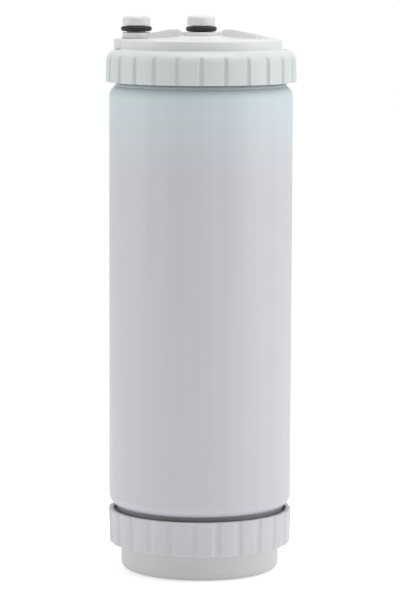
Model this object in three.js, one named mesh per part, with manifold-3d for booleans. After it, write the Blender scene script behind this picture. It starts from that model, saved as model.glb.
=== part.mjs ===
// A two-port water filter cartridge: a canister with a screw collar at each end, a lid with an inlet and an
// outlet spigot, a foot cap, and a radial-flow filter element inside. Millimetres, +Z up, origin at the centre
// of the foot's underside.
import * as THREE from "three";
import { mergeVertices } from "three/addons/utils/BufferGeometryUtils.js";
import Module from "manifold-3d";

// ---- driving dimensions ----------------------------------------------------------------------------------
const GAP = 0.3; // between pieces that touch

const BODY = { radius: 44.5, bottom: 31.75, top: 237.5, shoulder: 6, wall: 3 };
const NECK = { topRadius: 41.5, bottomRadius: 40.5, bore: 37.6, bottom: 20.8, top: 246.7 };
// Radii of the screw are counted from its neck, and its ridges' heights from the neck's ends.
const THREAD = {
  pitch: 4,
  steps: 31,
  fadeSteps: 2,
  startShare: 0.3,
  rootWidth: 1.9,
  crestWidth: 1,
  crest: 1.3,
  nutCrest: 0.7,
  nutRoot: 1.8,
  bury: 0.4,
  belowTop: 7.3,
  aboveBottom: 1.5,
};
const STEPS_PER_TURN = 25; // of the screw ridges; the rings that carry them have a multiple of it in segments
const NECK_SEGMENTS = 2 * STEPS_PER_TURN;
const LID_SEGMENTS = 40;
const LAYER_SEGMENTS = 32;
const PORT_SEGMENTS = 24;
const PORT_RING_SEGMENTS = 28;
const ROUND_STEPS = 3; // along a quarter of a rounded edge
const EDGE_STEPS = 2; // the same, where the edge is small

const LIP = 3; // thickness of a collar's inward lip
const SKIRT_EDGE = 0.4; // bevel round the open end of a collar
const TOP_COLLAR = {
  bottom: 238.6,
  top: 254.4,
  radius: 46.1,
  skirt: 46.25,
  opening: 40.95,
  shoulder: 5.9,
  shoulderSweep: 82,
  grooveFloor: 44.95,
};
const BOTTOM_COLLAR = {
  bottom: 13.1,
  top: 29.7,
  radius: 44.25,
  skirt: 44.9,
  opening: 39,
  edge: 0.9,
  grooveDepth: 0.8,
};
const LOBES = STEPS_PER_TURN;
const GRIP_SEGMENTS = 3 * LOBES;
const GROOVE_HALF_WIDTH = 1.9;
const FRONT_TURN = -0.25; // turns from +X to the front, where the upper collar has a groove
const BOTTOM_GRIP_TURN = -0.01; // turns that the lower collar's grip stands round from the upper one's

const FLANGE = { reach: 0.55, thickness: 3 };
const SLIP_RING = { thickness: 0.8, inset: 0.1 };
const PLUG = { radius: 37.3, depth: 7.2, inner: 32.8, groove: 35.2, grooveHeight: 2.7, land: 1.9 };
const SEAL = { radius: 36.45, section: 0.95 };

const LID = {
  wall: 39.2,
  ledge: 40.6,
  ledgeTop: 254,
  top: 259,
  roof: 3.4,
  bossRadius: 9.05,
  bossTop: 262.5,
  coneRadius: 17.5,
  coneTop: 260.7,
  edge: 0.7,
};
const WING = {
  width: 9,
  start: 8,
  rise: 1.5,
  ridgeFrom: 11.5,
  ridgeTo: 15.5,
  ridge: 263.4,
  end: 38.5,
  tip: 0.1,
};
const SOCKET = { radius: 10.3, bore: 7.3, bottom: 244.5, top: 253.9 };
const HEADSPACE = { radius: 35.4, bottom: 251.5, slope: 2 };
const FOOT = {
  radius: 38.6,
  corner: 3,
  recess: 31,
  recessDepth: 2.5,
  floor: 5.5,
  inner: 35.4,
  step: 15,
  slope: 2.6,
};

const PORT_PITCH = 31.4;
const PORT = {
  bore: 3.3,
  groove: 4.5,
  grooveBottom: 262.3,
  head: 6.75,
  headBottom: 265.7,
  shank: 5.7,
  hole: 6,
  edge: 0.8,
  mouth: 0.6,
};
const INLET = {
  boss: 10.9,
  bossBottom: 254.75,
  bossTop: 259.3,
  stem: 6.95,
  top: 270.1,
  socket: 8.8,
  socketBottom: 252.5,
  bottom: 253,
};
const OUTLET = { top: 270.4, bottom: 254.2 };
const PORT_RING = { radius: 6.15, section: 1.4, height: 264.05 };

const ELEMENT = { bottom: 28.6, top: 239, radius: 36.8, cap: 4.2 };
const SPIGOT = { radius: 6.8, bore: 3.8, top: 253.4, groove: 5.5, grooveHeight: 2, rings: [247.2, 250.6] };
const SPIGOT_RING = { radius: 6.35, section: 0.75 };
const STEM = { radius: 9.5, play: 0.4, bottom: 9, socket: 13, socketTop: 14, pad: 6 };
const CORE = { inner: 12, outer: 14, slotWidth: 3, slotHeight: 24, slotRows: 5 };
const LAYERS = {
  inner_fleece: [14.3, 15.8],
  carbon_block: [16.1, 32],
  sediment_wrap: [32.3, 35],
  outer_net: [35.3, 36],
};
const SINK = 1; // how far joined pieces reach into each other
const PAST = 5; // how far a cut reaches past the face that it opens

// ---- solids ----------------------------------------------------------------------------------------------
const wasm = await Module();
wasm.setup();

// A closed geometry as a solid that can be joined and cut.
function toSolid(geometry) {
  const bare = geometry.clone();
  bare.deleteAttribute("normal");
  bare.deleteAttribute("uv");
  const merged = mergeVertices(bare, 1e-4);
  const corners = merged.index.array;
  const triangles = [];
  for (let i = 0; i < corners.length; i += 3) {
    const [a, b, c] = corners.slice(i, i + 3);
    if (a !== b && b !== c && c !== a) triangles.push(a, b, c);
  }
  return new wasm.Manifold(
    new wasm.Mesh({
      numProp: 3,
      vertProperties: new Float32Array(merged.attributes.position.array),
      triVerts: new Uint32Array(triangles),
    }),
  );
}

function toGeometry(solid) {
  const mesh = solid.getMesh();
  const geometry = new THREE.BufferGeometry();
  geometry.setAttribute("position", new THREE.BufferAttribute(new Float32Array(mesh.vertProperties), 3));
  geometry.setIndex(new THREE.BufferAttribute(new Uint32Array(mesh.triVerts), 1));
  geometry.computeVertexNormals();
  return geometry;
}

// Points of a round about [radius, height], from one angle to another in degrees.
function arc(radius, height, size, from, to, steps) {
  return Array.from({ length: steps + 1 }, (_, i) => {
    const angle = THREE.MathUtils.degToRad(from + ((to - from) * i) / steps);
    return [radius + size * Math.cos(angle), height + size * Math.sin(angle)];
  });
}

// A profile of [radius, height] points turned about +Z: outwards along the bottom, up the outside and back
// along the top. It closes on itself unless it starts and ends on the axis.
function turned(profile, segments) {
  const onAxis = profile[0][0] === 0 && profile[profile.length - 1][0] === 0;
  const closed = onAxis ? profile : [...profile, profile[0]];
  const points = closed.map(([r, z]) => new THREE.Vector2(r, z));
  const lathe = new THREE.LatheGeometry(points, segments);
  return lathe.rotateX(Math.PI / 2).rotateZ(Math.PI / 2);
}

function ring(inner, outer, bottom, top, segments) {
  return turned([[inner, bottom], [outer, bottom], [outer, top], [inner, top]], segments);
}

function rod(radius, bottom, top, x, segments) {
  const cylinder = new THREE.CylinderGeometry(radius, radius, top - bottom, segments);
  return cylinder.rotateX(Math.PI / 2).translate(x, 0, (top + bottom) / 2);
}

function oRing({ radius, section }, height, x, segments) {
  return toSolid(new THREE.TorusGeometry(radius, section, 6, segments).translate(x, 0, height));
}

// A screw ridge along a right-hand helix, whose crest sinks towards the wall at both ends. It is at the given
// height where its turn is 0.
function screwRidge(rootRadius, crestRadius, height, fromTurn) {
  const { steps, fadeSteps, startShare } = THREAD;
  const positions = [];
  const faces = [];
  for (let i = 0; i <= steps; i++) {
    const turn = fromTurn + i / STEPS_PER_TURN;
    const angle = turn * 2 * Math.PI;
    const middle = height + THREAD.pitch * turn;
    const grown = Math.min(1, startShare + ((1 - startShare) * Math.min(i, steps - i)) / fadeSteps);
    const crest = rootRadius + (crestRadius - rootRadius) * grown;
    const section = [
      [rootRadius, -THREAD.rootWidth / 2],
      [crest, -THREAD.crestWidth / 2],
      [crest, THREAD.crestWidth / 2],
      [rootRadius, THREAD.rootWidth / 2],
    ];
    for (const [r, z] of section) positions.push(r * Math.cos(angle), r * Math.sin(angle), middle + z);
  }
  for (let i = 0; i < steps; i++)
    for (let j = 0; j < 4; j++) {
      const a = i * 4 + j;
      const b = i * 4 + ((j + 1) % 4);
      faces.push(a, a + 4, b, b, a + 4, b + 4);
    }
  const last = steps * 4;
  faces.push(0, 1, 2, 0, 2, 3, last, last + 2, last + 1, last, last + 3, last + 2);
  if (crestRadius < rootRadius) faces.reverse();
  const geometry = new THREE.BufferGeometry();
  geometry.setAttribute("position", new THREE.Float32BufferAttribute(positions, 3));
  geometry.setIndex(faces);
  return geometry;
}

// ---- canister --------------------------------------------------------------------------------------------
const topRidgeHeight = NECK.top - THREAD.belowTop;
const bottomRidgeHeight = NECK.bottom + THREAD.aboveBottom;

function housingTube() {
  const run = BODY.radius - BODY.shoulder;
  const meet = (neckRadius) => THREE.MathUtils.radToDeg(Math.acos((neckRadius - run) / BODY.shoulder));
  const inner = BODY.radius - BODY.wall;
  const slope = inner - NECK.bore;
  const profile = [
    [NECK.bore, NECK.bottom],
    [NECK.bottomRadius, NECK.bottom],
    ...arc(run, BODY.bottom + BODY.shoulder, BODY.shoulder, -meet(NECK.bottomRadius), 0, ROUND_STEPS),
    ...arc(run, BODY.top - BODY.shoulder, BODY.shoulder, 0, meet(NECK.topRadius), ROUND_STEPS),
    [NECK.topRadius, NECK.top],
    [NECK.bore, NECK.top],
    [NECK.bore, BODY.top - BODY.wall],
    [inner, BODY.top - BODY.wall - slope],
    [inner, BODY.bottom + BODY.wall + slope],
    [NECK.bore, BODY.bottom + BODY.wall],
  ];
  const ridge = (neckRadius, height) =>
    toSolid(screwRidge(neckRadius - THREAD.bury, neckRadius + THREAD.crest, height, 0.5 / NECK_SEGMENTS));
  return toSolid(turned(profile, NECK_SEGMENTS))
    .add(ridge(NECK.topRadius, topRidgeHeight))
    .add(ridge(NECK.bottomRadius, bottomRidgeHeight));
}

// ---- collars ---------------------------------------------------------------------------------------------
// Turns a smooth ring of three segments to a lobe into a lobed grip: of each three, one runs down the middle of
// a groove and two run along its edges. floorAt gives the groove's radius at a height.
function cutGrip(geometry, wallRadius, floorAt) {
  const position = geometry.attributes.position;
  const pitch = (2 * Math.PI) / LOBES;
  const edge = GROOVE_HALF_WIDTH / TOP_COLLAR.radius;
  for (let i = 0; i < position.count; i++) {
    const x = position.getX(i);
    const y = position.getY(i);
    const z = position.getZ(i);
    const smooth = Math.hypot(x, y);
    if (smooth < wallRadius) continue;
    const slot = Math.round((Math.atan2(y, x) / (2 * Math.PI)) * GRIP_SEGMENTS);
    const place = ((slot % 3) + 3) % 3;
    const angle = ((slot - place) / 3) * pitch + [0, edge, pitch - edge][place];
    const radius = place === 0 ? Math.min(smooth, floorAt(z)) : smooth;
    position.setXYZ(i, radius * Math.cos(angle), radius * Math.sin(angle), z);
  }
  return geometry;
}

// A collar stands with its grip turned to fromTurn. Its screw ridge starts there, halfway along a facet, and
// runs midway between the turns of the neck's ridge.
function screwedCollar(grip, neckRadius, neckRidgeHeight, fromTurn) {
  const root = neckRadius + THREAD.nutRoot + THREAD.bury;
  const height = neckRidgeHeight + THREAD.pitch / 2;
  const ridge = screwRidge(root, neckRadius + THREAD.nutCrest, height, fromTurn + 0.5 / GRIP_SEGMENTS);
  return toSolid(grip.rotateZ(2 * Math.PI * fromTurn)).add(toSolid(ridge));
}

function topCollar() {
  const c = TOP_COLLAR;
  const root = NECK.topRadius + THREAD.nutRoot;
  const crown = arc(c.radius - c.shoulder, c.top - c.shoulder, c.shoulder, 0, c.shoulderSweep, 4);
  const profile = [
    [root, c.bottom],
    [c.skirt - SKIRT_EDGE, c.bottom],
    [c.skirt, c.bottom + SKIRT_EDGE],
    ...crown,
    [c.opening, c.top - LIP],
    [root, c.top - LIP],
  ];
  const grip = cutGrip(turned(profile, GRIP_SEGMENTS), root + THREAD.bury, () => c.grooveFloor);
  return screwedCollar(grip, NECK.topRadius, topRidgeHeight, FRONT_TURN);
}

function bottomCollar() {
  const c = BOTTOM_COLLAR;
  const root = NECK.bottomRadius + THREAD.nutRoot;
  const profile = [
    [c.opening, c.bottom],
    ...arc(c.radius - c.edge, c.bottom + c.edge, c.edge, -90, 0, EDGE_STEPS),
    [c.skirt, c.top - SKIRT_EDGE],
    [c.skirt - SKIRT_EDGE, c.top],
    [root, c.top],
    [root, c.bottom + LIP],
    [c.opening, c.bottom + LIP],
  ];
  const draft = (c.skirt - c.radius) / (c.top - c.bottom);
  const floorAt = (z) => c.radius + draft * (z - c.bottom) - c.grooveDepth;
  const grip = cutGrip(turned(profile, GRIP_SEGMENTS), root + THREAD.bury, floorAt);
  return screwedCollar(grip, NECK.bottomRadius, bottomRidgeHeight, FRONT_TURN + BOTTOM_GRIP_TURN);
}

const topFlange = {
  bottom: NECK.top + GAP,
  top: NECK.top + GAP + FLANGE.thickness,
  radius: NECK.topRadius + FLANGE.reach,
};
const bottomFlange = {
  bottom: NECK.bottom - GAP - FLANGE.thickness,
  top: NECK.bottom - GAP,
  radius: NECK.bottomRadius + FLANGE.reach,
};

function slipRing(opening, flange, bottom) {
  const outer = flange.radius - SLIP_RING.inset;
  return toSolid(ring(opening, outer, bottom, bottom + SLIP_RING.thickness, LAYER_SEGMENTS));
}

// ---- lid -------------------------------------------------------------------------------------------------
const lidPlugBottom = NECK.top - PLUG.depth;
const lidGroove = lidPlugBottom + PLUG.land;

// The web that runs from the outlet boss down to the lid's rim.
function wing(side) {
  const outline = [
    [WING.start, LID.top - SINK],
    [WING.end, LID.top - SINK],
    [WING.end, LID.top + WING.tip],
    [WING.ridgeTo, WING.ridge],
    [WING.ridgeFrom, WING.ridge],
    [WING.ridgeFrom - WING.rise, LID.bossTop],
    [WING.start, LID.bossTop],
  ];
  const shape = new THREE.Shape(outline.map(([x, z]) => new THREE.Vector2(x, z)));
  const slab = new THREE.ExtrudeGeometry(shape, { depth: WING.width, bevelEnabled: false });
  slab.translate(0, 0, -WING.width / 2).rotateX(Math.PI / 2);
  return toSolid(side < 0 ? slab.rotateZ(Math.PI) : slab);
}

function topLid() {
  const roofUnder = LID.top - LID.roof;
  const profile = [
    [PLUG.inner, lidPlugBottom],
    [PLUG.radius, lidPlugBottom],
    [PLUG.radius, lidGroove],
    [PLUG.groove, lidGroove],
    [PLUG.groove, lidGroove + PLUG.grooveHeight],
    [PLUG.radius, lidGroove + PLUG.grooveHeight],
    [PLUG.radius, topFlange.bottom],
    [topFlange.radius, topFlange.bottom],
    [topFlange.radius, topFlange.top],
    [LID.ledge, topFlange.top],
    [LID.ledge, LID.ledgeTop],
    [LID.wall, LID.ledgeTop],
    [LID.wall, LID.top - LID.edge],
    [LID.wall - LID.edge, LID.top],
    [LID.coneRadius, LID.top],
    [LID.bossRadius, LID.coneTop],
    [LID.bossRadius, LID.bossTop],
    [PORT.hole, LID.bossTop],
    [PORT.hole, SOCKET.top],
    [SOCKET.bore, SOCKET.top],
    [SOCKET.bore, SOCKET.bottom],
    [SOCKET.radius, SOCKET.bottom],
    [SOCKET.radius, roofUnder],
    [HEADSPACE.radius, roofUnder],
    [HEADSPACE.radius, HEADSPACE.bottom],
    [PLUG.inner, HEADSPACE.bottom - HEADSPACE.slope],
  ];
  const atInlet = (radius, bottom, top) => toSolid(rod(radius, bottom, top, -PORT_PITCH, PORT_SEGMENTS));
  return toSolid(turned(profile, LID_SEGMENTS))
    .add(wing(1))
    .add(wing(-1))
    .add(toSolid(rod(INLET.boss, INLET.bossBottom, INLET.bossTop, -PORT_PITCH, LID_SEGMENTS)))
    .add(atInlet(INLET.socket, INLET.socketBottom, LID.top - SINK))
    .subtract(atInlet(PORT.hole, INLET.socketBottom - SINK, INLET.bossTop + PAST))
    .subtract(atInlet(INLET.stem + GAP, INLET.bossTop, WING.ridge + PAST));
}

// ---- spigots ---------------------------------------------------------------------------------------------
// A spigot with the given points up the outside of its shank, between its lower end and its ring groove.
function spigot({ bottom, top }, shankSide, x) {
  const profile = [
    [PORT.bore, bottom],
    [PORT.shank, bottom],
    ...shankSide,
    [PORT.groove, PORT.grooveBottom],
    [PORT.groove, PORT.headBottom],
    [PORT.head, PORT.headBottom],
    ...arc(PORT.head - PORT.edge, top - PORT.edge, PORT.edge, 0, 90, EDGE_STEPS),
    [PORT.bore + PORT.mouth, top],
    [PORT.bore, top - PORT.mouth],
  ];
  return toSolid(turned(profile, PORT_SEGMENTS).translate(x, 0, 0));
}

function inletSpigot() {
  const stem = [
    [PORT.shank, INLET.bossTop + GAP],
    [INLET.stem, INLET.bossTop + GAP],
    [INLET.stem, PORT.grooveBottom],
  ];
  return spigot(INLET, stem, -PORT_PITCH);
}

function outletSpigot() {
  return spigot(OUTLET, [[PORT.shank, PORT.grooveBottom]], 0);
}

// ---- bottom cap ------------------------------------------------------------------------------------------
const capPlugTop = NECK.bottom + PLUG.depth;
const capGroove = capPlugTop - PLUG.land - PLUG.grooveHeight;

function bottomCap() {
  return toSolid(
    turned(
      [
        [0, FOOT.recessDepth],
        [FOOT.recess, FOOT.recessDepth],
        [FOOT.recess, 0],
        ...arc(FOOT.radius - FOOT.corner, FOOT.corner, FOOT.corner, -90, 0, ROUND_STEPS),
        [FOOT.radius, bottomFlange.bottom],
        [bottomFlange.radius, bottomFlange.bottom],
        [bottomFlange.radius, bottomFlange.top],
        [PLUG.radius, bottomFlange.top],
        [PLUG.radius, capGroove],
        [PLUG.groove, capGroove],
        [PLUG.groove, capGroove + PLUG.grooveHeight],
        [PLUG.radius, capGroove + PLUG.grooveHeight],
        [PLUG.radius, capPlugTop],
        [PLUG.inner, capPlugTop],
        [PLUG.inner, FOOT.step + FOOT.slope],
        [FOOT.inner, FOOT.step],
        [FOOT.inner, FOOT.floor],
        [STEM.socket, FOOT.floor],
        [STEM.socket, STEM.socketTop],
        [STEM.radius + STEM.play, STEM.socketTop],
        [STEM.radius + STEM.play, FOOT.floor],
        [0, FOOT.floor],
      ],
      LID_SEGMENTS,
    ),
  );
}

// ---- filter element --------------------------------------------------------------------------------------
const layerBottom = ELEMENT.bottom + ELEMENT.cap + GAP;
const layerTop = ELEMENT.top - ELEMENT.cap - GAP;

function upperEndCap() {
  const grooves = SPIGOT.rings.flatMap((height) => [
    [SPIGOT.radius, height - SPIGOT.grooveHeight / 2],
    [SPIGOT.groove, height - SPIGOT.grooveHeight / 2],
    [SPIGOT.groove, height + SPIGOT.grooveHeight / 2],
    [SPIGOT.radius, height + SPIGOT.grooveHeight / 2],
  ]);
  const profile = [
    [SPIGOT.bore, ELEMENT.top - ELEMENT.cap],
    [ELEMENT.radius, ELEMENT.top - ELEMENT.cap],
    [ELEMENT.radius, ELEMENT.top],
    [SPIGOT.radius, ELEMENT.top],
    ...grooves,
    [SPIGOT.radius, SPIGOT.top],
    [SPIGOT.bore, SPIGOT.top],
  ];
  return toSolid(turned(profile, LAYER_SEGMENTS));
}

function lowerEndCap() {
  const profile = [
    [0, STEM.bottom],
    [STEM.radius, STEM.bottom],
    [STEM.radius, ELEMENT.bottom],
    [ELEMENT.radius, ELEMENT.bottom],
    [ELEMENT.radius, ELEMENT.bottom + ELEMENT.cap],
    [0, ELEMENT.bottom + ELEMENT.cap],
  ];
  return toSolid(turned(profile, LAYER_SEGMENTS));
}

function seatPad() {
  return toSolid(rod(STEM.radius, STEM.pad, STEM.bottom - GAP, 0, PORT_SEGMENTS));
}

function coreTube() {
  let tube = toSolid(ring(CORE.inner, CORE.outer, layerBottom, layerTop, LAYER_SEGMENTS));
  const rowPitch = (layerTop - layerBottom) / CORE.slotRows;
  for (let row = 0; row < CORE.slotRows; row++)
    for (const turn of [0, Math.PI / 2]) {
      const slot = new THREE.BoxGeometry(4 * CORE.outer, CORE.slotWidth, CORE.slotHeight).rotateZ(turn);
      tube = tube.subtract(toSolid(slot.translate(0, 0, layerBottom + rowPitch * (row + 0.5))));
    }
  return tube;
}

// ---- assembly --------------------------------------------------------------------------------------------
const FINISHES = {
  white: new THREE.MeshStandardMaterial({ color: 0xd9dde2, roughness: 0.4, metalness: 0 }),
  rubber: new THREE.MeshStandardMaterial({ color: 0x141414, roughness: 0.5, metalness: 0 }),
  acetal: new THREE.MeshStandardMaterial({ color: 0xf0f0ea, roughness: 0.35, metalness: 0 }),
  endCap: new THREE.MeshStandardMaterial({ color: 0xdfe6e8, roughness: 0.45, metalness: 0 }),
  core: new THREE.MeshStandardMaterial({ color: 0xe6e6e0, roughness: 0.5, metalness: 0 }),
  fleece: new THREE.MeshStandardMaterial({ color: 0xefeee8, roughness: 0.95, metalness: 0 }),
  carbon: new THREE.MeshStandardMaterial({ color: 0x1b1b1c, roughness: 0.95, metalness: 0 }),
  net: new THREE.MeshStandardMaterial({ color: 0xdde3e2, roughness: 0.6, metalness: 0 }),
};

const cartridge = new THREE.Group();

function place(name, solid, finish) {
  const mesh = new THREE.Mesh(toGeometry(solid), finish);
  mesh.name = name;
  cartridge.add(mesh);
}

place("housing_tube", housingTube(), FINISHES.white);
place("top_collar", topCollar(), FINISHES.white);
place("top_lid", topLid(), FINISHES.white);
place("inlet_spigot", inletSpigot(), FINISHES.white);
place("outlet_spigot", outletSpigot(), FINISHES.white);
place("bottom_collar", bottomCollar(), FINISHES.white);
place("bottom_cap", bottomCap(), FINISHES.white);

place("inlet_oring", oRing(PORT_RING, PORT_RING.height, -PORT_PITCH, PORT_RING_SEGMENTS), FINISHES.rubber);
place("outlet_oring", oRing(PORT_RING, PORT_RING.height, 0, PORT_RING_SEGMENTS), FINISHES.rubber);
place("lid_seal", oRing(SEAL, lidGroove + PLUG.grooveHeight / 2, 0, LAYER_SEGMENTS), FINISHES.rubber);
place("bottom_seal", oRing(SEAL, capGroove + PLUG.grooveHeight / 2, 0, LAYER_SEGMENTS), FINISHES.rubber);

const topRingBottom = topFlange.top + GAP;
const bottomRingBottom = bottomFlange.bottom - GAP - SLIP_RING.thickness;
place("top_slip_ring", slipRing(TOP_COLLAR.opening, topFlange, topRingBottom), FINISHES.acetal);
place("bottom_slip_ring", slipRing(BOTTOM_COLLAR.opening, bottomFlange, bottomRingBottom), FINISHES.acetal);

place("upper_end_cap", upperEndCap(), FINISHES.endCap);
place("lower_end_cap", lowerEndCap(), FINISHES.endCap);
place("seat_pad", seatPad(), FINISHES.rubber);
for (const [i, height] of SPIGOT.rings.entries()) {
  const name = i === 0 ? "spigot_oring_lower" : "spigot_oring_upper";
  place(name, oRing(SPIGOT_RING, height, 0, PORT_SEGMENTS), FINISHES.rubber);
}
place("core_tube", coreTube(), FINISHES.core);
const layerFinish = {
  inner_fleece: FINISHES.fleece,
  carbon_block: FINISHES.carbon,
  sediment_wrap: FINISHES.fleece,
  outer_net: FINISHES.net,
};
for (const [name, [inner, outer]] of Object.entries(LAYERS))
  place(name, toSolid(ring(inner, outer, layerBottom, layerTop, LAYER_SEGMENTS)), layerFinish[name]);

export default cartridge;
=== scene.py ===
import math

import bmesh
import bpy
from mathutils import Matrix, Vector


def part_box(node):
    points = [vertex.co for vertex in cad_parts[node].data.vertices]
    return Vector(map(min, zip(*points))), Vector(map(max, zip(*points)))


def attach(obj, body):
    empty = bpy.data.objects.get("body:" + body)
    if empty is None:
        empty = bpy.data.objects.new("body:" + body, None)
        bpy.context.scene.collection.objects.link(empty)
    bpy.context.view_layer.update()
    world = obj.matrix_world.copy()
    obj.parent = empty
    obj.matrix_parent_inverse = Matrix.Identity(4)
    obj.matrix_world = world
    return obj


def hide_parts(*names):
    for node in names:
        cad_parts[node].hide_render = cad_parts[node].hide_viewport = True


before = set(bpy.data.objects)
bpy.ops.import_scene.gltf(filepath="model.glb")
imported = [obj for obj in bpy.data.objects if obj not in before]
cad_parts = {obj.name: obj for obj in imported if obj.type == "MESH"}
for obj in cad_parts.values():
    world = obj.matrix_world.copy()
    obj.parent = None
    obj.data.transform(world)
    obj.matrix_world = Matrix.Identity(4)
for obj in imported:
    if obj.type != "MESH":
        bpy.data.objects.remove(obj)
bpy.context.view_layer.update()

# ---------------------------------------------------------------------------------------------------------
# Canister: a blow-moulded polypropylene bottle, open at both ends. Each end is trimmed to a neck with a
# screw ridge, and the wall rolls into the necks over a rounded shoulder.
mm = 0.001
polypropylene_ior = 1.49


def span(node):
    """A node's lowest and highest height and its outer radius about its own axis, in millimetres."""
    low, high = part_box(node)
    return low.z / mm, high.z / mm, (high.x - low.x) / 2 / mm


def arc(radius, height, size, start, end, steps=8):
    """Points of a round about (radius, height), from one angle to another in degrees."""
    turns = [math.radians(start + (end - start) * i / steps) for i in range(steps + 1)]
    return [(radius + size * math.cos(turn), height + size * math.sin(turn)) for turn in turns]


def rounded(outline, steps=5):
    """An outline whose (radius, height, corner radius) points are turned into rounds. A point is held just
    beyond each end of a round, so that the flats beside it shade flat."""
    points = []
    for i, point in enumerate(outline):
        here = Vector(point[:2])
        if len(point) < 3:
            points.append(tuple(here))
            continue
        back = Vector(outline[i - 1][:2]) - here
        ahead = Vector(outline[(i + 1) % len(outline)][:2]) - here
        half = back.angle(ahead) / 2
        reach = min(point[2] / math.tan(half), 0.45 * back.length, 0.45 * ahead.length)
        size = reach * math.tan(half)
        back.normalize()
        ahead.normalize()
        centre = here + (back + ahead).normalized() * (size / math.sin(half))
        hold = min(0.12, 0.2 * reach)
        points.append(tuple(here + back * (reach + hold)))
        spoke = here + back * reach - centre
        sweep = math.pi - 2 * half
        if back.x * ahead.y - back.y * ahead.x > 0:
            sweep = -sweep
        for step in range(steps + 1):
            points.append(tuple(centre + Matrix.Rotation(sweep * step / steps, 2) @ spoke))
        points.append(tuple(here + ahead * (reach + hold)))
    return points


def solid_of_rings(name, rings, closed):
    """A mesh over rings of points, one to each point of an outline; a ring of one point is a pole."""
    made = bmesh.new()
    loops = [[made.verts.new(Vector(point) * mm) for point in ring] for ring in rings]
    count = max(len(loop) for loop in loops)
    loops = [loop if len(loop) == count else loop * count for loop in loops]
    for lower, upper in zip(loops, loops[1:] + (loops[:1] if closed else [])):
        for i in range(count):
            j = (i + 1) % count
            corners = list(dict.fromkeys((lower[i], lower[j], upper[j], upper[i])))
            if len(corners) > 2:
                made.faces.new(corners).smooth = True
    return as_object(name, made)


def as_object(name, made):
    """Ends the work on a mesh and puts it in the scene as a piece."""
    mesh = bpy.data.meshes.new(name)
    made.to_mesh(mesh)
    made.free()
    piece = bpy.data.objects.new(name, mesh)
    bpy.context.scene.collection.objects.link(piece)
    return piece


def turned(name, outline, steps=160, shape=None, x=0):
    """A solid of revolution about the upright axis at x. The outline runs outwards along the bottom, up the
    outside and back along the top; shape(radius, height, angle) may move its points."""
    rings = []
    for radius, height in outline:
        ring = []
        for i in range(steps if radius > 0 else 1):
            angle = 2 * math.pi * i / steps
            r, z = shape(radius, height, angle) if shape else (radius, height)
            ring.append((x + r * math.cos(angle), r * math.sin(angle), z))
        rings.append(ring)
    return solid_of_rings(name, rings, closed=outline[0][0] > 0)


def screw_ridge(root, crest, height, start, turns=1.24, pitch=4.0, steps=150):
    """A rounded ridge along a right-hand screw, which sinks into its wall at both ends. It is at the given
    height where its turn is 0."""
    made = bmesh.new()
    lower_flank = [(0, -0.95), (0.6, -0.6), (0.9, -0.45), (1, -0.25)]
    section = lower_flank + [(out, -along) for out, along in reversed(lower_flank)]
    fade_steps, end_height = 12, 0.15
    rings = []
    for i in range(steps + 1):
        turn = start + turns * i / steps
        angle = 2 * math.pi * turn
        faded = min(1, i / fade_steps, (steps - i) / fade_steps)
        grown = end_height + (1 - end_height) * math.sin(math.pi / 2 * faded)
        ring = []
        for out, along in section:
            r = root + (crest - root) * out * grown
            point = Vector((r * math.cos(angle), r * math.sin(angle), height + pitch * turn + along))
            ring.append(made.verts.new(point * mm))
        rings.append(ring)
    for near, far in zip(rings, rings[1:]):
        for i in range(len(near)):
            j = (i + 1) % len(near)
            made.faces.new((near[i], far[i], far[j], near[j]))
    made.faces.new(rings[0])
    made.faces.new(rings[-1])
    bmesh.ops.recalc_face_normals(made, faces=made.faces)
    return as_object("ridge", made)


def combine(piece, other, operation):
    """Joins or cuts a piece with another solid, which is used up."""
    step = piece.modifiers.new("combine", "BOOLEAN")
    step.operation = operation
    step.solver = "EXACT"
    step.object = other
    graph = bpy.context.evaluated_depsgraph_get()
    mesh = bpy.data.meshes.new_from_object(piece.evaluated_get(graph))
    piece.modifiers.clear()
    piece.data = mesh
    bpy.data.objects.remove(other)
    for face in mesh.polygons:
        face.use_smooth = True
    mesh.set_sharp_from_angle(angle=math.radians(35))
    return piece


def fit(piece, material, slot, body, *nodes):
    """Gives a piece its finish and puts it on its body, in the place of its nodes."""
    piece.data.materials.clear()
    piece.data.materials.append(material)
    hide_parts(*nodes)
    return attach(piece, body)


def new_finish(name):
    """A new material, with its nodes and its surface shader."""
    material = bpy.data.materials.new(name)
    material.use_nodes = True
    return material, material.node_tree, material.node_tree.nodes["Principled BSDF"]


def node_of(graph, kind, **inputs):
    """A shader node with the given inputs, each a value or the output of another node."""
    node = graph.nodes.new("ShaderNode" + kind)
    for name, value in inputs.items():
        socket = node.inputs[name.replace("_", " ")]
        if isinstance(value, bpy.types.NodeSocket):
            graph.links.new(value, socket)
        else:
            socket.default_value = value
    return node


def speckle(graph, scale, detail=2, stretch=(1, 1, 1)):
    """Noise fixed in the piece, with its scale in cells a metre."""
    place = graph.nodes.new("ShaderNodeTexCoord").outputs["Object"]
    if stretch != (1, 1, 1):
        place = node_of(graph, "Mapping", Vector=place, Scale=stretch).outputs["Vector"]
    return node_of(graph, "TexNoise", Vector=place, Scale=scale, Detail=detail).outputs["Fac"]


def remap(graph, value, low, high, start=0.3, end=0.7):
    """The value carried from start..end to low..high, and held there."""
    inputs = {"From_Min": start, "From_Max": end, "To_Min": low, "To_Max": high}
    return node_of(graph, "MapRange", Value=value, **inputs).outputs["Result"]


def toned(graph, colour, brightness):
    """A colour made lighter or darker by a brightness about 1."""
    plain = (*colour, 1)
    return node_of(graph, "HueSaturation", Color=plain, Value=brightness).outputs["Color"]


def raised(graph, height, depth, strength=1.0, over=None):
    """The normal of a surface with small bumps of the given depth, over any larger ones."""
    inputs = {"Height": height, "Distance": depth, "Strength": strength}
    if over:
        inputs["Normal"] = over
    return node_of(graph, "Bump", **inputs).outputs["Normal"]


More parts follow.
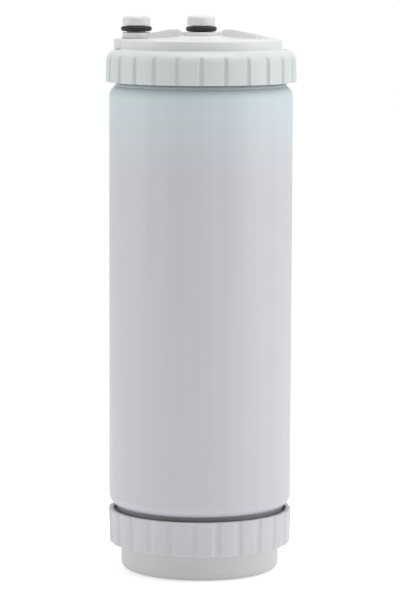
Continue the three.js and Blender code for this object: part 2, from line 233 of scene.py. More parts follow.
def blended(graph, share, first, second):
    """A colour that goes from the first to the second as the share goes from 0 to 1."""
    mix = graph.nodes.new("ShaderNodeMix")
    mix.data_type = "RGBA"
    for name, value in (("Factor_Float", share), ("A_Color", first), ("B_Color", second)):
        socket = next(s for s in mix.inputs if s.identifier == name)
        graph.links.new(value, socket)
    return next(s for s in mix.outputs if s.identifier == "Result_Color")


def blown_canister():
    """Blown plastic: flow lines up the wall, a soft orange peel, a painted cool cast of shade and reflected
    light under the upper shoulder, and a painted shade: a dark band where each shoulder meets its collar."""
    colour = (0.620, 0.640, 0.695)
    # The cool colour is painted: it stands in for the shade and reflected light under the upper shoulder.
    painted_cast_colour = (0.635, 0.735, 0.77)
    # The dark colour is painted shade for the gaps under the collars.
    seam_shade_colour = (0.29, 0.30, 0.315)
    cast_from, cast_to = (upper_shoulder - 42) * mm, (upper_shoulder - 4) * mm
    seam_soft, seam_width = 1.0, 3.5
    upper_seam, lower_seam = upper_shoulder - 0.8, lower_shoulder + 1.3
    material, graph, shader = new_finish("blown_polypropylene")
    place = graph.nodes.new("ShaderNodeTexCoord").outputs["Object"]
    height = node_of(graph, "SeparateXYZ", Vector=place).outputs["Z"]
    lines = speckle(graph, 210, 3, stretch=(1, 1, 0.012))
    broad = speckle(graph, 70, 2, stretch=(1, 1, 0.05))
    streaks = remap(graph, lines, 0.972, 1.012)
    # Painted cool cast: towards the upper shoulder the wall turns cooler and a little lighter, standing in
    # for the shade and reflected light there.
    painted_cast_share = remap(graph, height, 0, 1, cast_from, cast_to)
    wall_colour = blended(graph, painted_cast_share, toned(graph, colour, streaks), toned(graph, painted_cast_colour, streaks))
    painted_seam_shade = toned(graph, seam_shade_colour, streaks)
    finish = wall_colour
    # Painted shade: a dark band on the wall beside each collar, standing in for the shadow in the gap
    # between shoulder and collar.
    for seam, outwards in ((upper_seam, mm), (lower_seam, -mm)):
        near, far = seam * mm, seam * mm + seam_width * outwards
        starts = remap(graph, height, 0, 1, near, near + seam_soft * outwards)
        ends = remap(graph, height, 0, 1, far, far + seam_soft * outwards)
        finish = blended(graph, starts, finish, painted_seam_shade)
        finish = blended(graph, ends, finish, wall_colour)
    graph.links.new(finish, shader.inputs["Base Color"])
    graph.links.new(remap(graph, broad, 0.34, 0.44), shader.inputs["Roughness"])
    peel = raised(graph, speckle(graph, 420, 3), 0.00004, 0.6)
    flow = raised(graph, lines, 0.00006, 0.8, over=peel)
    graph.links.new(flow, shader.inputs["Normal"])
    shader.inputs["IOR"].default_value = polypropylene_ior
    return material


tube_bottom, tube_top, tube_radius = span("housing_tube")
shoulder, wall, neck_bore = 6.0, 3.0, 37.6
lower_neck, upper_neck = 40.5, 41.5
thread_bury, thread_height = 0.4, 1.3
upper_thread, lower_thread, thread_start = tube_top - 7.3, tube_bottom + 1.5, 0.01
lower_shoulder = tube_bottom + 10.2
upper_shoulder = tube_top - 9.2
shoulder_run = tube_radius - shoulder
inner_radius = tube_radius - wall
lower_meet = math.degrees(math.acos((lower_neck - shoulder_run) / shoulder))
upper_meet = math.degrees(math.acos((upper_neck - shoulder_run) / shoulder))
canister = turned(
    "canister",
    rounded(
        [
            (neck_bore, tube_bottom, 0.5),
            (lower_neck, tube_bottom, 0.6),
            *arc(shoulder_run, lower_shoulder + shoulder, shoulder, -lower_meet, 0, 12),
            (tube_radius, lower_shoulder + shoulder + 0.6),
            (tube_radius, (lower_shoulder + upper_shoulder) / 2),
            (tube_radius, upper_shoulder - shoulder - 0.6),
            *arc(shoulder_run, upper_shoulder - shoulder, shoulder, 0, upper_meet, 12),
            (upper_neck, tube_top, 0.6),
            (neck_bore, tube_top, 0.5),
            (neck_bore, upper_shoulder - wall, 1.5),
            (inner_radius, upper_shoulder - wall - 4, 3),
            (inner_radius, lower_shoulder + wall + 4, 3),
            (neck_bore, lower_shoulder + wall, 1.5),
        ]
    ),
)
for neck, height in ((upper_neck, upper_thread), (lower_neck, lower_thread)):
    ridge = screw_ridge(neck - thread_bury, neck + thread_height, height, thread_start)
    combine(canister, ridge, "UNION")
fit(canister, blown_canister(), "canister_white", "canister", "housing_tube")

# ---------------------------------------------------------------------------------------------------------
# Core tube: the slotted polypropylene tube that the filter element is wound on. Clean water passes through
# its slots, which are moulded in, and leaves up the middle.
core_bottom, core_top, core_outer = span("core_tube")
core_wall = 2
core_inner = core_outer - core_wall
slot_width, slot_height, slot_rows, slots_round, cut_past = 3.0, 24.0, 5, 4, 3


def moulded(name, colour, roughness, clouds=0.015, grain=0.00003):
    """Moulded plastic: faintly cloudy, with small changes of gloss and a fine grain from the mould."""
    material, graph, shader = new_finish(name)
    cloud = remap(graph, speckle(graph, 45, 4), 1 - clouds, 1 + clouds)
    graph.links.new(toned(graph, colour, cloud), shader.inputs["Base Color"])
    gloss = remap(graph, speckle(graph, 120, 3), roughness - 0.04, roughness + 0.06)
    graph.links.new(gloss, shader.inputs["Roughness"])
    graph.links.new(raised(graph, speckle(graph, 900, 3), grain), shader.inputs["Normal"])
    shader.inputs["IOR"].default_value = polypropylene_ior
    return material


def slot_cutters():
    """Round-ended bars that stand out from the axis, in rows one above another."""
    made = bmesh.new()
    row_pitch = (core_top - core_bottom) / slot_rows
    half, straight = slot_width / 2, (slot_height - slot_width) / 2
    outline = arc(0, straight, half, 0, 180, 10) + arc(0, -straight, half, 180, 360, 10)
    for row in range(slot_rows):
        middle = core_bottom + row_pitch * (row + 0.5)
        for slot in range(slots_round):
            swing = Matrix.Rotation(slot * 2 * math.pi / slots_round, 3, "Z")
            ends = []
            for reach in (core_inner - cut_past, core_outer + cut_past):
                points = [swing @ Vector((reach, side, middle + rise)) for side, rise in outline]
                ends.append([made.verts.new(point * mm) for point in points])
            near, far = ends
            for i in range(len(near)):
                j = (i + 1) % len(near)
                made.faces.new((near[i], far[i], far[j], near[j]))
            made.faces.new(near)
            made.faces.new(far)
    bmesh.ops.remove_doubles(made, verts=made.verts, dist=0.001 * mm)
    bmesh.ops.recalc_face_normals(made, faces=made.faces)
    return as_object("slots", made)


core = turned(
    "core_tube_slotted",
    rounded(
        [
            (core_inner, core_bottom, 0.3),
            (core_outer, core_bottom, 0.3),
            (core_outer, core_top, 0.3),
            (core_inner, core_top, 0.3),
        ],
        3,
    ),
    96,
)
combine(core, slot_cutters(), "DIFFERENCE")
core_plastic = moulded("core_polypropylene", (0.80, 0.80, 0.77), 0.45)
fit(core, core_plastic, "core_plastic", "foot_and_element", "core_tube")

# ---------------------------------------------------------------------------------------------------------
# Inner fleece: a fine melt-blown polypropylene fleece, rolled once round the core tube and lapped over
# itself. It keeps carbon dust out of the clean water.


def fibrous(name, colour, scale, depth):
    """A mat of fine fibres: cloudy, dull, and soft at glancing angles."""
    material, graph, shader = new_finish(name)
    tufts = speckle(graph, scale, 5)
    fibres = speckle(graph, scale * 9, 3, stretch=(1, 1, 0.3))
    graph.links.new(toned(graph, colour, remap(graph, tufts, 0.9, 1.04)), shader.inputs["Base Color"])
    graph.links.new(remap(graph, fibres, 0.85, 1.0), shader.inputs["Roughness"])
    mat = raised(graph, tufts, depth)
    graph.links.new(raised(graph, fibres, depth * 0.4, over=mat), shader.inputs["Normal"])
    shader.inputs["Sheen Weight"].default_value = 0.3
    shader.inputs["Sheen Roughness"].default_value = 0.6
    return material


def sleeve(node, thickness, edge, shape=None, steps=120, rows=40):
    """A plain sleeve in the place of a node, with rows of points up its outside for shape to move."""
    bottom, top, outer = span(node)
    climb = [(outer, bottom + (top - bottom) * i / rows) for i in range(1, rows)]
    inner = outer - thickness
    outline = [(inner, bottom, edge), (outer, bottom, edge), *climb, (outer, top, edge), (inner, top, edge)]
    return turned(node + "_sleeve", rounded(outline, 3), steps, shape)


def lapped(radius, height, angle):
    """The lap stands a little proud for a short stretch of the turn, and ends in a step."""
    lap_proud, lap_turn = 0.16, 0.5
    proud = lap_proud * max(0, 1 - angle / lap_turn)
    outside = radius > core_outer + 1
    return (radius - lap_proud / 2 + proud if outside else radius), height


fleece_white = fibrous("fleece_mat", (0.85, 0.85, 0.82), 260, 0.00012)
inner_fleece = sleeve("inner_fleece", 1.5, 0.4, lapped, rows=12)
fit(inner_fleece, fleece_white, "fleece", "foot_and_element", "inner_fleece")

# ---------------------------------------------------------------------------------------------------------
# Carbon block: activated carbon, ground and moulded with a little binder into a thick tube. Its skin is
# matt and grainy, and its ends are cut square with the edges just broken.


def pressed_carbon():
    """Black and dull, with a coarse grain and faint patches."""
    material, graph, shader = new_finish("pressed_carbon")
    grains = speckle(graph, 1400, 4)
    patches = speckle(graph, 60, 3)
    black = toned(graph, (0.022, 0.022, 0.023), remap(graph, patches, 0.7, 1.35))
    graph.links.new(black, shader.inputs["Base Color"])
    graph.links.new(remap(graph, grains, 0.7, 0.98), shader.inputs["Roughness"])
    graph.links.new(raised(graph, grains, 0.0002), shader.inputs["Normal"])
    return material


def uneven(radius, height, angle):
    """A skin that is a little out of round, as a pressed tube is."""
    swell_depth = 0.04
    swell = math.sin(3 * angle + height / 23) + math.sin(7 * angle - height / 11)
    return radius + swell_depth * swell, height


carbon_block = sleeve("carbon_block", 15.9, 0.5, uneven)
fit(carbon_block, pressed_carbon(), "moulded_carbon", "foot_and_element", "carbon_block")

# ---------------------------------------------------------------------------------------------------------
# Sediment wrap: a depth filter of melt-blown fibre, wound on the block in a close spiral that leaves soft
# ridges. It stops rust and sand before the carbon.


def wound(radius, height, angle):
    """Soft ridges that climb round the wrap as one spiral."""
    ridge, lead = 0.1, 5
    return radius - ridge + ridge * math.sin(height / lead * 2 * math.pi + angle), height


wrap = sleeve("sediment_wrap", 2.7, 0.6, wound, rows=240)
wrap_white = fibrous("depth_fibre", (0.86, 0.85, 0.80), 420, 0.0002)
fit(wrap, wrap_white, "fleece", "foot_and_element", "sediment_wrap")

# ---------------------------------------------------------------------------------------------------------
# Outer net: an extruded polyethylene net of two layers of strands, which cross as diamonds and are welded
# where they touch. It is pulled over the wrap like a stocking.
net_bottom, net_top, net_outer = span("outer_net")
strand, strands, net_turns, net_steps = 0.19, 40, 0.85, 84


def net_sleeve():
    """Two layers of thin strands that wind opposite ways round the wrap."""
    made = bmesh.new()
    sides = 5
    height = net_top - net_bottom - 2 * strand
    for way, radius in ((1, net_outer - 3 * strand), (-1, net_outer - 1.4 * strand)):
        for k in range(strands):
            rings = []
            for i in range(net_steps + 1):
                angle = 2 * math.pi * (k / strands + way * net_turns * i / net_steps)
                z = net_bottom + strand + height * i / net_steps
                ring = []
                for side in range(sides):
                    tilt = 2 * math.pi * side / sides
                    r = radius + strand * math.cos(tilt)
                    rise = strand * math.sin(tilt)
                    spin = angle - way * rise / radius
                    point = Vector((r * math.cos(spin), r * math.sin(spin), z + 0.4 * rise))
                    ring.append(made.verts.new(point * mm))
                rings.append(ring)
            for near, far in zip(rings, rings[1:]):
                for i in range(sides):
                    j = (i + 1) % sides
                    made.faces.new((near[i], near[j], far[j], far[i])).smooth = True
            made.faces.new(rings[0])
            made.faces.new(rings[-1])
    bmesh.ops.recalc_face_normals(made, faces=made.faces)
    return as_object("net_sleeve", made)


net_plastic = moulded("net_polyethylene", (0.80, 0.83, 0.83), 0.4)
fit(net_sleeve(), net_plastic, "net_plastic", "foot_and_element", "outer_net")

# ---------------------------------------------------------------------------------------------------------
# End caps: two moulded discs, glued on the ends of the rolled layers. The upper one carries the hollow
# spigot that feeds the outlet, and the lower one a solid stem that centres the element.
cap_plastic = moulded("end_cap_polypropylene", (0.70, 0.76, 0.78), 0.42)
cap_thickness = 4.2
upper_low, upper_high, upper_radius = span("upper_end_cap")
spigot_radius, spigot_bore, ring_groove, groove_height = 6.8, 3.8, 5.5, 2.0
face_height = upper_low + cap_thickness
ring_heights = []
groove_outline = []
for node in ("spigot_oring_lower", "spigot_oring_upper"):
    low, high, _ = span(node)
    middle = (low + high) / 2
    ring_heights.append(middle)
    groove_outline += [
        (spigot_radius, middle - groove_height / 2, 0.15),
        (ring_groove, middle - groove_height / 2, 0.2),
        (ring_groove, middle + groove_height / 2, 0.2),
        (spigot_radius, middle + groove_height / 2, 0.15),
    ]
upper_end_cap = turned(
    "end_cap_with_spigot",
    rounded(
        [
            (spigot_bore, upper_low, 0.3),
            (upper_radius, upper_low, 0.5),
            (upper_radius, face_height, 0.9),
            (upper_radius - 3.5, face_height, 0.3),
            (upper_radius - 4.3, face_height - 0.8, 0.3),
            (spigot_radius + 5, face_height - 0.8, 1.5),
            (spigot_radius, face_height, 1.2),
            *groove_outline,
            (spigot_radius, upper_high, 0.7),
            (spigot_bore, upper_high, 0.4),
        ],
        4,
    ),
    120,
)
fit(upper_end_cap, cap_plastic, "end_cap_plastic", "foot_and_element", "upper_end_cap")

lower_low, lower_high, lower_radius = span("lower_end_cap")
stem_radius = 9.5
lower_end_cap = turned(
    "end_cap_with_stem",
    rounded(
        [
            (0, lower_low),
            (stem_radius, lower_low, 1.2),
            (stem_radius, lower_high - cap_thickness, 1.0),
            (lower_radius, lower_high - cap_thickness, 0.9),
            (lower_radius, lower_high, 0.5),
            (0, lower_high),
        ],
        4,
    ),
    120,
)
fit(lower_end_cap, cap_plastic, "end_cap_plastic", "foot_and_element", "lower_end_cap")

# ---------------------------------------------------------------------------------------------------------
# Spigot O-rings: two moulded nitrile rings, stretched into the grooves of the element's spigot. They keep
# unfiltered water out of the outlet.


def nitrile():
    """Black rubber, lightly greased, with a dusting of talc left in its pores."""
    material, graph, shader = new_finish("nitrile_rubber")
    bloom = speckle(graph, 300, 4)
    black = toned(graph, (0.008, 0.008, 0.0085), remap(graph, bloom, 0.75, 1.5))
    graph.links.new(black, shader.inputs["Base Color"])
    graph.links.new(remap(graph, bloom, 0.36, 0.54), shader.inputs["Roughness"])
    graph.links.new(raised(graph, speckle(graph, 2600, 2), 0.00002), shader.inputs["Normal"])
    return material


def o_ring(node, x=0, steps=120):
    """A moulded ring in the place of a node: round in section, with the thin flash line of its mould."""
    low, high, outer = span(node)
    section = (high - low) / 2
    centre, middle, flash, points = outer - section, (high + low) / 2, 0.05, 28
    outline = []
    for i in range(points):
        angle = 2 * math.pi * (i / points - 0.25)
        proud = flash if i in (points // 4, 3 * points // 4) else 0
        reach = section - flash + proud
        outline.append((centre + reach * math.cos(angle), middle + section * math.sin(angle)))
    return turned(node + "_rubber", outline, steps, x=x)


black_rubber = nitrile()
for node in ("spigot_oring_lower", "spigot_oring_upper"):
    fit(o_ring(node), black_rubber, "black_rubber", "foot_and_element", node)

# ---------------------------------------------------------------------------------------------------------
# Seat pad: a thick rubber disc at the bottom of the cap's socket. The stem presses on it, which takes up
# the play of the element.
pad_low, pad_high, pad_radius = span("seat_pad")
seat_pad = turned(
    "stem_seat_pad",
    rounded(
        [
            (0, pad_low),
            (pad_radius, pad_low, 0.5),
            (pad_radius, pad_high, 0.5),
            (pad_radius - 3, pad_high, 0.3),
            (pad_radius - 3.6, pad_high - 0.5, 0.3),
            (0, pad_high - 0.5),
        ],
        4,
    ),
    80,
)
fit(seat_pad, black_rubber, "black_rubber", "foot_and_element", "seat_pad")

# ---------------------------------------------------------------------------------------------------------
# Bottom cap: one injection-moulded piece. Its plug seals inside the lower neck, its flange is what the
# collar clamps, and the disc below it is the foot that the cartridge stands on.
cap_low, cap_high, cap_radius = span("bottom_cap")
plug_radius, plug_inner, plug_groove = 37.3, 32.8, 35.2
groove_tall, plug_land = 2.7, 1.9
foot_radius, foot_corner = 38.6, 4.2
cap_flange_low, cap_flange_high = cap_low + 17.5, cap_low + 20.5
cap_groove = cap_high - plug_land - groove_tall
recess_radius, recess_depth, cap_floor, cup_radius, cup_step = 31.0, 2.5, 5.5, 35.4, 15.0
cup_slope, stem_play, gate_depth, gate_radius = 2.6, 0.4, 0.6, 2.4
socket_outer, socket_top = 13.0, 14.0
bottom_cap = turned(
    "foot_cap",
    rounded(
        [
            (0, recess_depth - gate_depth),
            (gate_radius - 0.2, recess_depth - gate_depth, 0.3),
            (gate_radius + 0.2, recess_depth, 0.2),
            (recess_radius, recess_depth, 0.8),
            (recess_radius, 0, 0.7),
            (foot_radius, 0, foot_corner),
            (foot_radius, cap_flange_low, 0.4),
            (cap_radius, cap_flange_low, 0.3),
            (cap_radius, cap_flange_high, 0.4),
            (plug_radius, cap_flange_high, 0.4),
            (plug_radius, cap_groove, 0.2),
            (plug_groove, cap_groove, 0.3),
            (plug_groove, cap_groove + groove_tall, 0.3),
            (plug_radius, cap_groove + groove_tall, 0.2),
            (plug_radius, cap_high, 0.6),
            (plug_inner, cap_high, 0.5),
            (plug_inner, cup_step + cup_slope, 0.6),
            (cup_radius, cup_step, 0.6),
            (cup_radius, cap_floor, 1.5),
            (socket_outer, cap_floor, 1.0),
            (socket_outer, socket_top, 0.6),
            (stem_radius + stem_play, socket_top, 0.6),
            (stem_radius + stem_play, cap_floor, 0.3),
            (0, cap_floor),
        ]
    ),
)
foot_white = moulded("foot_polypropylene", (0.655, 0.665, 0.675), 0.42)
fit(bottom_cap, foot_white, "foot_white", "foot_and_element", "bottom_cap")
fit(o_ring("bottom_seal", steps=160), black_rubber, "black_rubber", "foot_and_element", "bottom_seal")

# ---------------------------------------------------------------------------------------------------------
# Slip rings: thin acetal washers between the flanges and the collars' lips, so that a collar turns without
# dragging its cap round.
acetal = moulded("acetal_washer", (0.85, 0.85, 0.82), 0.33)


def slip_ring(node, opening):
    low, high, outer = span(node)
    corners = [(opening, low, 0.15), (outer, low, 0.15), (outer, high, 0.15), (opening, high, 0.15)]
    return turned(node + "_washer", rounded(corners, 3), 120)


fit(slip_ring("bottom_slip_ring", 39.0), acetal, "acetal", "foot_and_element", "bottom_slip_ring")

# ---------------------------------------------------------------------------------------------------------
# Lower collar: a ring nut, injection-moulded, with a lip that pulls the cap up against the neck. Shallow
# finger grooves run right down its side.
lobes = 25
groove_flat, groove_reach = 0.6, 2.4
nut_clearance, nut_crest = 1.8, 0.7
front = -math.pi / 2


def groove_share(radius, angle, turned_by):
    """1 down the middle of a finger groove, falling to 0 at its edges; and the same, broader, for the crown
    of the lobe between two grooves."""
    pitch = 2 * math.pi / lobes
    away = abs((angle - front - turned_by + pitch / 2) % pitch - pitch / 2) * radius
    fall = min(1, max(0, (away - groove_flat) / (groove_reach - groove_flat)))
    crown = away / (pitch / 2 * radius)
    return (1 + math.cos(math.pi * fall)) / 2, (1 + math.cos(math.pi * crown)) / 2


lower_collar_white = moulded("lower_collar_polypropylene", (0.62, 0.635, 0.665), 0.38)
nut_low, nut_high, nut_radius = span("bottom_collar")
nut_side, nut_opening, nut_lip = 44.25, 39.0, 3.0
nut_bore = lower_neck + nut_clearance
nut_turned_by = -0.01 * 2 * math.pi
nut_thread, nut_thread_start = tube_bottom + 3.5, -0.25
nut_groove_depth, nut_crown_depth = 0.6, 0.12


def lower_grip(radius, height, angle):
    """Sinks the grooves in the outside of the nut, and the lobes' crowns by a hair."""
    if radius < nut_bore + 0.8:
        return radius, height
    groove, crown = groove_share(radius, angle, nut_turned_by)
    return radius - nut_groove_depth * groove - nut_crown_depth * crown, height


lower_collar = turned(
    "lower_screw_collar",
    rounded(
        [
            (nut_opening, nut_low, 0.4),
            (nut_side, nut_low, 0.6),
            (nut_radius, nut_high, 0.5),
            (nut_bore, nut_high, 0.4),
            (nut_bore, nut_low + nut_lip, 0.6),
            (nut_opening, nut_low + nut_lip, 0.4),
        ]
    ),
    600,
    lower_grip,
)
lower_ridge = screw_ridge(nut_bore + thread_bury, lower_neck + nut_crest, nut_thread, nut_thread_start)
combine(lower_collar, lower_ridge, "UNION")
fit(lower_collar, lower_collar_white, "collar_white", "lower_collar", "bottom_collar")

# ---------------------------------------------------------------------------------------------------------
# Lid: one injection-moulded piece with a plug below, a straight rim, and a shallow dish on top. A cone
# rises to the boss of the outlet, and a web runs out from it on each side to stiffen the roof; the wide
# round base of the inlet overhangs the rim.
lid_flange_radius, plug_depth = 42.05, 7.2
lid_flange_low, lid_flange_high = tube_top + 0.3, tube_top + 3.3
lid_wall, lid_ledge, ledge_top = 39.2, 40.6, 254.35
lid_top, lid_dish, rim_width = 259.0, 258.7, 2.2
boss_radius, boss_top, port_hole = 9.05, 262.5, 6.05
cone_radius, cone_top = 17.5, 260.7
web_top, web_from, web_to, web_end, web_rise = 263.8, 11.2, 15.5, 38.9, 1.3
web_half, web_edge, web_foot = 3.6, 1.1, 3.2
socket_bore, socket_wall, socket_low, socket_high = 7.3, 10.3, 244.5, 253.9
headspace_radius, headspace_low, roof_under = 35.4, 251.5, 255.6
inlet_x = (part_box("inlet_spigot")[0].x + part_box("inlet_spigot")[1].x) / 2 / mm
plug_bottom = tube_top - plug_depth
lid_groove = plug_bottom + plug_land
rim_inner, dish_edge, hair = lid_wall - rim_width, 2.0, 0.01
cone_curve, web_foot_share = 1.6, 0.22


def smooth_step(value, start, end):
    """0 up to the start and 1 past the end, with a soft rise between."""
    share = min(1, max(0, (value - start) / (end - start)))
    return share * share * (3 - 2 * share)


def lid_skin(radius, height, angle):
    """Lifts the points of the lid's top: a dish inside a low rim, a cone to the boss, and the two webs."""
    above_roof = lid_dish - hair <= height <= lid_top + hair
    if not above_roof or radius < boss_radius - hair:
        return radius, height
    top = lid_dish + (lid_top - lid_dish) * smooth_step(radius, rim_inner - dish_edge, rim_inner)
    if radius < cone_radius:
        up_cone = (cone_radius - radius) / (cone_radius - boss_radius)
        top = max(top, lid_dish + (cone_top - lid_dish) * up_cone**cone_curve)
    along, across = abs(radius * math.cos(angle)), abs(radius * math.sin(angle))
    ridge = boss_top + web_rise * smooth_step(along, boss_radius + 0.3, web_from)
    if along > web_to:
        ridge = web_top - (web_top - lid_top) * (along - web_to) / (web_end - web_to)
    flank = 1 - smooth_step(across, web_half, web_half + web_edge)
    foot = web_foot_share * (1 - smooth_step(across, web_half, web_half + web_edge + web_foot))
    rise = max(0, ridge - top) * max(flank, foot)
    below_rim = min(0, height - lid_top)
    return radius, top + rise + below_rim


dish_steps, dish_start = 52, lid_wall - 0.9
dish_pitch = (dish_start - boss_radius) / dish_steps
dish = [(dish_start - dish_pitch * i, lid_top) for i in range(dish_steps)]
lid_outline = rounded(
    [
        (plug_inner, plug_bottom, 0.5),
        (plug_radius, plug_bottom, 0.6),
        (plug_radius, lid_groove, 0.2),
        (plug_groove, lid_groove, 0.3),
        (plug_groove, lid_groove + groove_tall, 0.3),
        (plug_radius, lid_groove + groove_tall, 0.2),
        (plug_radius, lid_flange_low, 0.3),
        (lid_flange_radius, lid_flange_low, 0.4),
        (lid_flange_radius, lid_flange_high, 0.4),
        (lid_ledge, lid_flange_high, 0.3),
        (lid_ledge, ledge_top, 0.5),
        (lid_wall, ledge_top, 0.3),
        (lid_wall, lid_top, 0.7),
        *dish,
        (boss_radius, cone_top),
        (boss_radius, boss_top, 0.5),
        (port_hole, boss_top, 0.3),
        (port_hole, socket_high, 0.3),
        (socket_bore, socket_high, 0.3),
        (socket_bore, socket_low, 0.6),
        (socket_wall, socket_low, 0.5),
        (socket_wall, roof_under, 1.0),
        (headspace_radius, roof_under, 1.0),
        (headspace_radius, headspace_low, 0.6),
        (plug_inner, headspace_low - 2, 0.6),
    ]
)
lid = turned("lid", lid_outline, 400, lid_skin)
base_radius, base_low, base_top = 10.9, 254.47, 259.3
stem_gap_radius, cut_low, cut_high = 6.98, 250.5, 270
inlet_socket_radius, inlet_socket_low, inlet_socket_high = 8.8, 252.5, 257
inlet_base = turned(
    "inlet_base",
    rounded([(0, base_low), (base_radius, base_low, 0.15), (base_radius, base_top, 0.6), (0, base_top)]),
    120,
    x=inlet_x,
)
combine(lid, inlet_base, "UNION")
socket_outline = [
    (0, inlet_socket_low),
    (inlet_socket_radius, inlet_socket_low, 0.6),
    (inlet_socket_radius, inlet_socket_high),
    (0, inlet_socket_high),
]
inlet_socket = turned("inlet_socket", rounded(socket_outline), 96, x=inlet_x)
combine(lid, inlet_socket, "UNION")
bore = [(0, cut_low), (port_hole, cut_low), (port_hole, base_top), (stem_gap_radius, base_top)]
stem_seat = turned("stem_seat", [*bore, (stem_gap_radius, cut_high), (0, cut_high)], 96, x=inlet_x)
combine(lid, stem_seat, "DIFFERENCE")
lid_white = moulded("lid_polypropylene", (0.79, 0.825, 0.815), 0.34)
fit(lid, lid_white, "lid_white", "lid", "top_lid")
fit(o_ring("lid_seal", steps=160), black_rubber, "black_rubber", "lid", "lid_seal")
fit(slip_ring("top_slip_ring", 40.95), acetal, "acetal", "lid", "top_slip_ring")

# ---------------------------------------------------------------------------------------------------------
# Ports: two smooth moulded spigots, pressed into the lid. Each has a groove under its head for the
# O-ring that seals in the head of the purifier; the inlet stands on a broad stem.
spigot_white = moulded("spigot_polypropylene", (0.79, 0.81, 0.805), 0.32, grain=0.00001)
port_bore, port_shank, port_groove, port_head = 3.3, 5.7, 4.5, 6.75
groove_floor, head_bottom, inlet_stem = 262.3, 265.7, 6.95


def port(name, node, x, stem):
    """One spigot: its shank and bore, the given stem, and the groove and head above it."""
    low, high, _ = span(node)
    outline = [(port_bore, low, 0.3), (port_shank, low, 0.4), *stem]
    outline += [
        (port_groove, groove_floor, 0.3),
        (port_groove, head_bottom, 0.3),
        (port_head, head_bottom, 0.3),
        (port_head, high, 1.4),
        (port_bore + 0.5, high, 0.3),
        (port_bore, high - 0.6, 0.3),
    ]
    piece = turned(name, rounded(outline), 120, x=x)
    return fit(piece, spigot_white, "spigot_white", "lid", node)


stem_foot = base_top + 0.04
stem_outline = [(port_shank, stem_foot), (inlet_stem, stem_foot), (inlet_stem, groove_floor, 0.4)]
port("inlet_port", "inlet_spigot", inlet_x, stem_outline)
port("outlet_port", "outlet_spigot", 0, [(port_shank, groove_floor, 0.2)])
for node, x in (("inlet_oring", inlet_x), ("outlet_oring", 0)):
    fit(o_ring(node, x), black_rubber, "black_rubber", "lid", node)

# ---------------------------------------------------------------------------------------------------------
# Upper collar: the larger ring nut, injection-moulded, with a full round shoulder. Its deep finger grooves
# run out on the shoulder, where the round falls away beneath them.
ring_low, ring_high, _ = span("top_collar")
ring_side, ring_skirt, ring_opening, ring_shoulder = 46.1, 46.25, 40.95, 5.9
ring_bore, ring_floor, shoulder_sweep = upper_neck + nut_clearance, 44.95, 82
ring_lip, groove_slope, groove_blend, crown_depth = 3.0, 3.2, 0.35, 0.1
ring_thread, ring_thread_start = tube_top - 5.3, -0.25


def upper_grip(radius, height, angle):
    """The lesser of the smooth wall and the groove's floor, blended so that the groove runs out softly."""
    if radius < ring_bore + 0.4 or height < ring_low - 1:
        return radius, height
    groove, crown = groove_share(ring_side, angle, 0)
    floor = ring_floor + (1 - groove) * groove_slope
    overlap = max(0, groove_blend - abs(radius - floor)) / groove_blend
    lesser = min(radius, floor) - overlap * overlap * groove_blend / 4
    on_side = radius > ring_side - 0.5
    return lesser - crown_depth * crown * on_side, height


crown_arc = arc(ring_side - ring_shoulder, ring_high - ring_shoulder, ring_shoulder, 0, shoulder_sweep, 22)
upper_collar = turned(
    "upper_screw_collar",
    rounded(
        [
            (ring_bore, ring_low, 0.4),
            (ring_skirt, ring_low, 0.5),
            (ring_side + 0.02, ring_high - ring_shoulder - 0.5),
            *crown_arc[:-1],
            (*crown_arc[-1], 0.3),
            (ring_opening, ring_high - ring_lip, 0.4),
            (ring_bore, ring_high - ring_lip, 0.6),
        ]
    ),
    600,
    upper_grip,
)
upper_ridge = screw_ridge(ring_bore + thread_bury, upper_neck + nut_crest, ring_thread, ring_thread_start)
combine(upper_collar, upper_ridge, "UNION")
upper_collar_white = moulded("upper_collar_polypropylene", (0.68, 0.735, 0.74), 0.36)
fit(upper_collar, upper_collar_white, "collar_white", "upper_collar", "top_collar")

# ---------------------------------------------------------------------------------------------------------
# Studio: a pale lit table top under an even white surround, a large soft light on each side and a warm one
# overhead. The right-hand light is stronger than the left, and the front is dimmer than the sides. Table and
# surround look whiter than the light that they cast.


def table_top():
    made = bmesh.new()
    half, table_gap, glow_seen, glow_cast = 6.0, 0.0002, 0.46, 0.22
    for x, y in ((-half, -half), (half, -half), (half, half), (-half, half)):
        made.verts.new((x, y, -table_gap))
    made.verts.ensure_lookup_table()
    made.faces.new(made.verts)
    table = as_object("table_top", made)
    material, graph, shader = new_finish("lit_white_acrylic")
    white = toned(graph, (0.9, 0.9, 0.9), remap(graph, speckle(graph, 3, 2), 0.99, 1.01))
    graph.links.new(white, shader.inputs["Base Color"])
    shader.inputs["Roughness"].default_value = 0.6
    shader.inputs["Emission Color"].default_value = (1, 1, 1, 1)
    seen = graph.nodes.new("ShaderNodeLightPath").outputs["Is Camera Ray"]
    graph.links.new(remap(graph, seen, glow_cast, glow_seen, 0, 1), shader.inputs["Emission Strength"])
    table.data.materials.append(material)


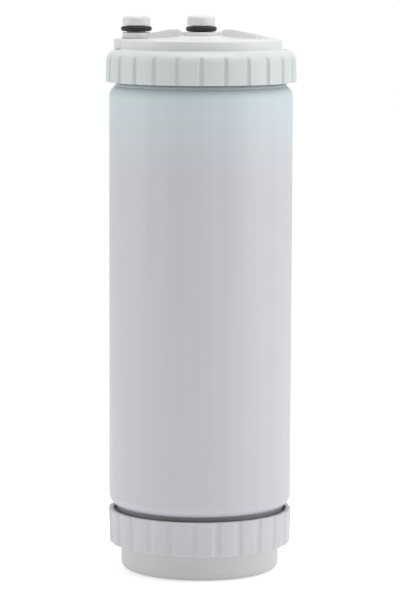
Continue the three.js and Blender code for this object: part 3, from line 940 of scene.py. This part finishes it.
def surround():
    """White all round to the eye; as light, dimmer from the front than from the sides and the back."""
    front_glow, back_glow, back_from, white_seen = 0.175, 0.80, 0.55, 1.02
    world = bpy.data.worlds.new("white_surround")
    world.use_nodes = True
    bpy.context.scene.world = world
    graph = world.node_tree
    sky = graph.nodes["Background"]
    way = graph.nodes.new("ShaderNodeTexCoord").outputs["Generated"]
    forward = node_of(graph, "SeparateXYZ", Vector=way).outputs["Y"]
    light = remap(graph, forward, front_glow, back_glow, -1.0, back_from)
    seen = graph.nodes.new("ShaderNodeLightPath").outputs["Is Camera Ray"]
    mix = graph.nodes.new("ShaderNodeMix")
    sockets = {s.identifier: s for s in mix.inputs}
    graph.links.new(seen, sockets["Factor_Float"])
    graph.links.new(light, sockets["A_Float"])
    sockets["B_Float"].default_value = white_seen
    graph.links.new({s.identifier: s for s in mix.outputs}["Result_Float"], sky.inputs["Strength"])
    sky.inputs["Color"].default_value = (0.98, 0.99, 1.0, 1)


def soft_light(name, place, width, height, power, colour):
    """A flat light that faces the middle of the cartridge."""
    aim = Vector((0, 0, 0.14))
    lamp = bpy.data.lights.new(name, "AREA")
    lamp.shape = "RECTANGLE"
    lamp.size = width
    lamp.size_y = height
    lamp.energy = power
    lamp.color = colour
    light = bpy.data.objects.new(name, lamp)
    light.location = place
    light.rotation_euler = (aim - Vector(place)).to_track_quat("-Z", "Y").to_euler()
    bpy.context.scene.collection.objects.link(light)


table_top()
surround()
soft_light("right_softbox", (1.0, -0.25, 0.45), 0.7, 1.0, 3.0, (1.0, 0.985, 0.95))
soft_light("left_softbox", (-1.0, -0.15, 0.4), 0.7, 1.0, 1.8, (1.0, 0.97, 0.92))
soft_light("overhead_softbox", (0.1, -0.15, 1.2), 0.8, 0.8, 6.2, (1.0, 0.94, 0.92))

# ---------------------------------------------------------------------------------------------------------
# Camera: stands 1.5 m off, almost straight in front and hardly rolled, and looks a little down on the lid
# through a long lens.
distance, pitch_down, roll = 1.5, math.radians(6.7), math.radians(-0.2)
aim_height, aside = 0.1320, -0.0008
lens_data = bpy.data.cameras.new("camera")
lens_data.lens = 184.2
lens_data.sensor_width = 36
camera = bpy.data.objects.new("camera", lens_data)
camera.location = (aside, -distance * math.cos(pitch_down), aim_height + distance * math.sin(pitch_down))
camera.rotation_euler = (math.pi / 2 - pitch_down, roll, 0)
bpy.context.scene.collection.objects.link(camera)
bpy.context.scene.camera = camera
bpy.context.scene.view_settings.view_transform = "Standard"
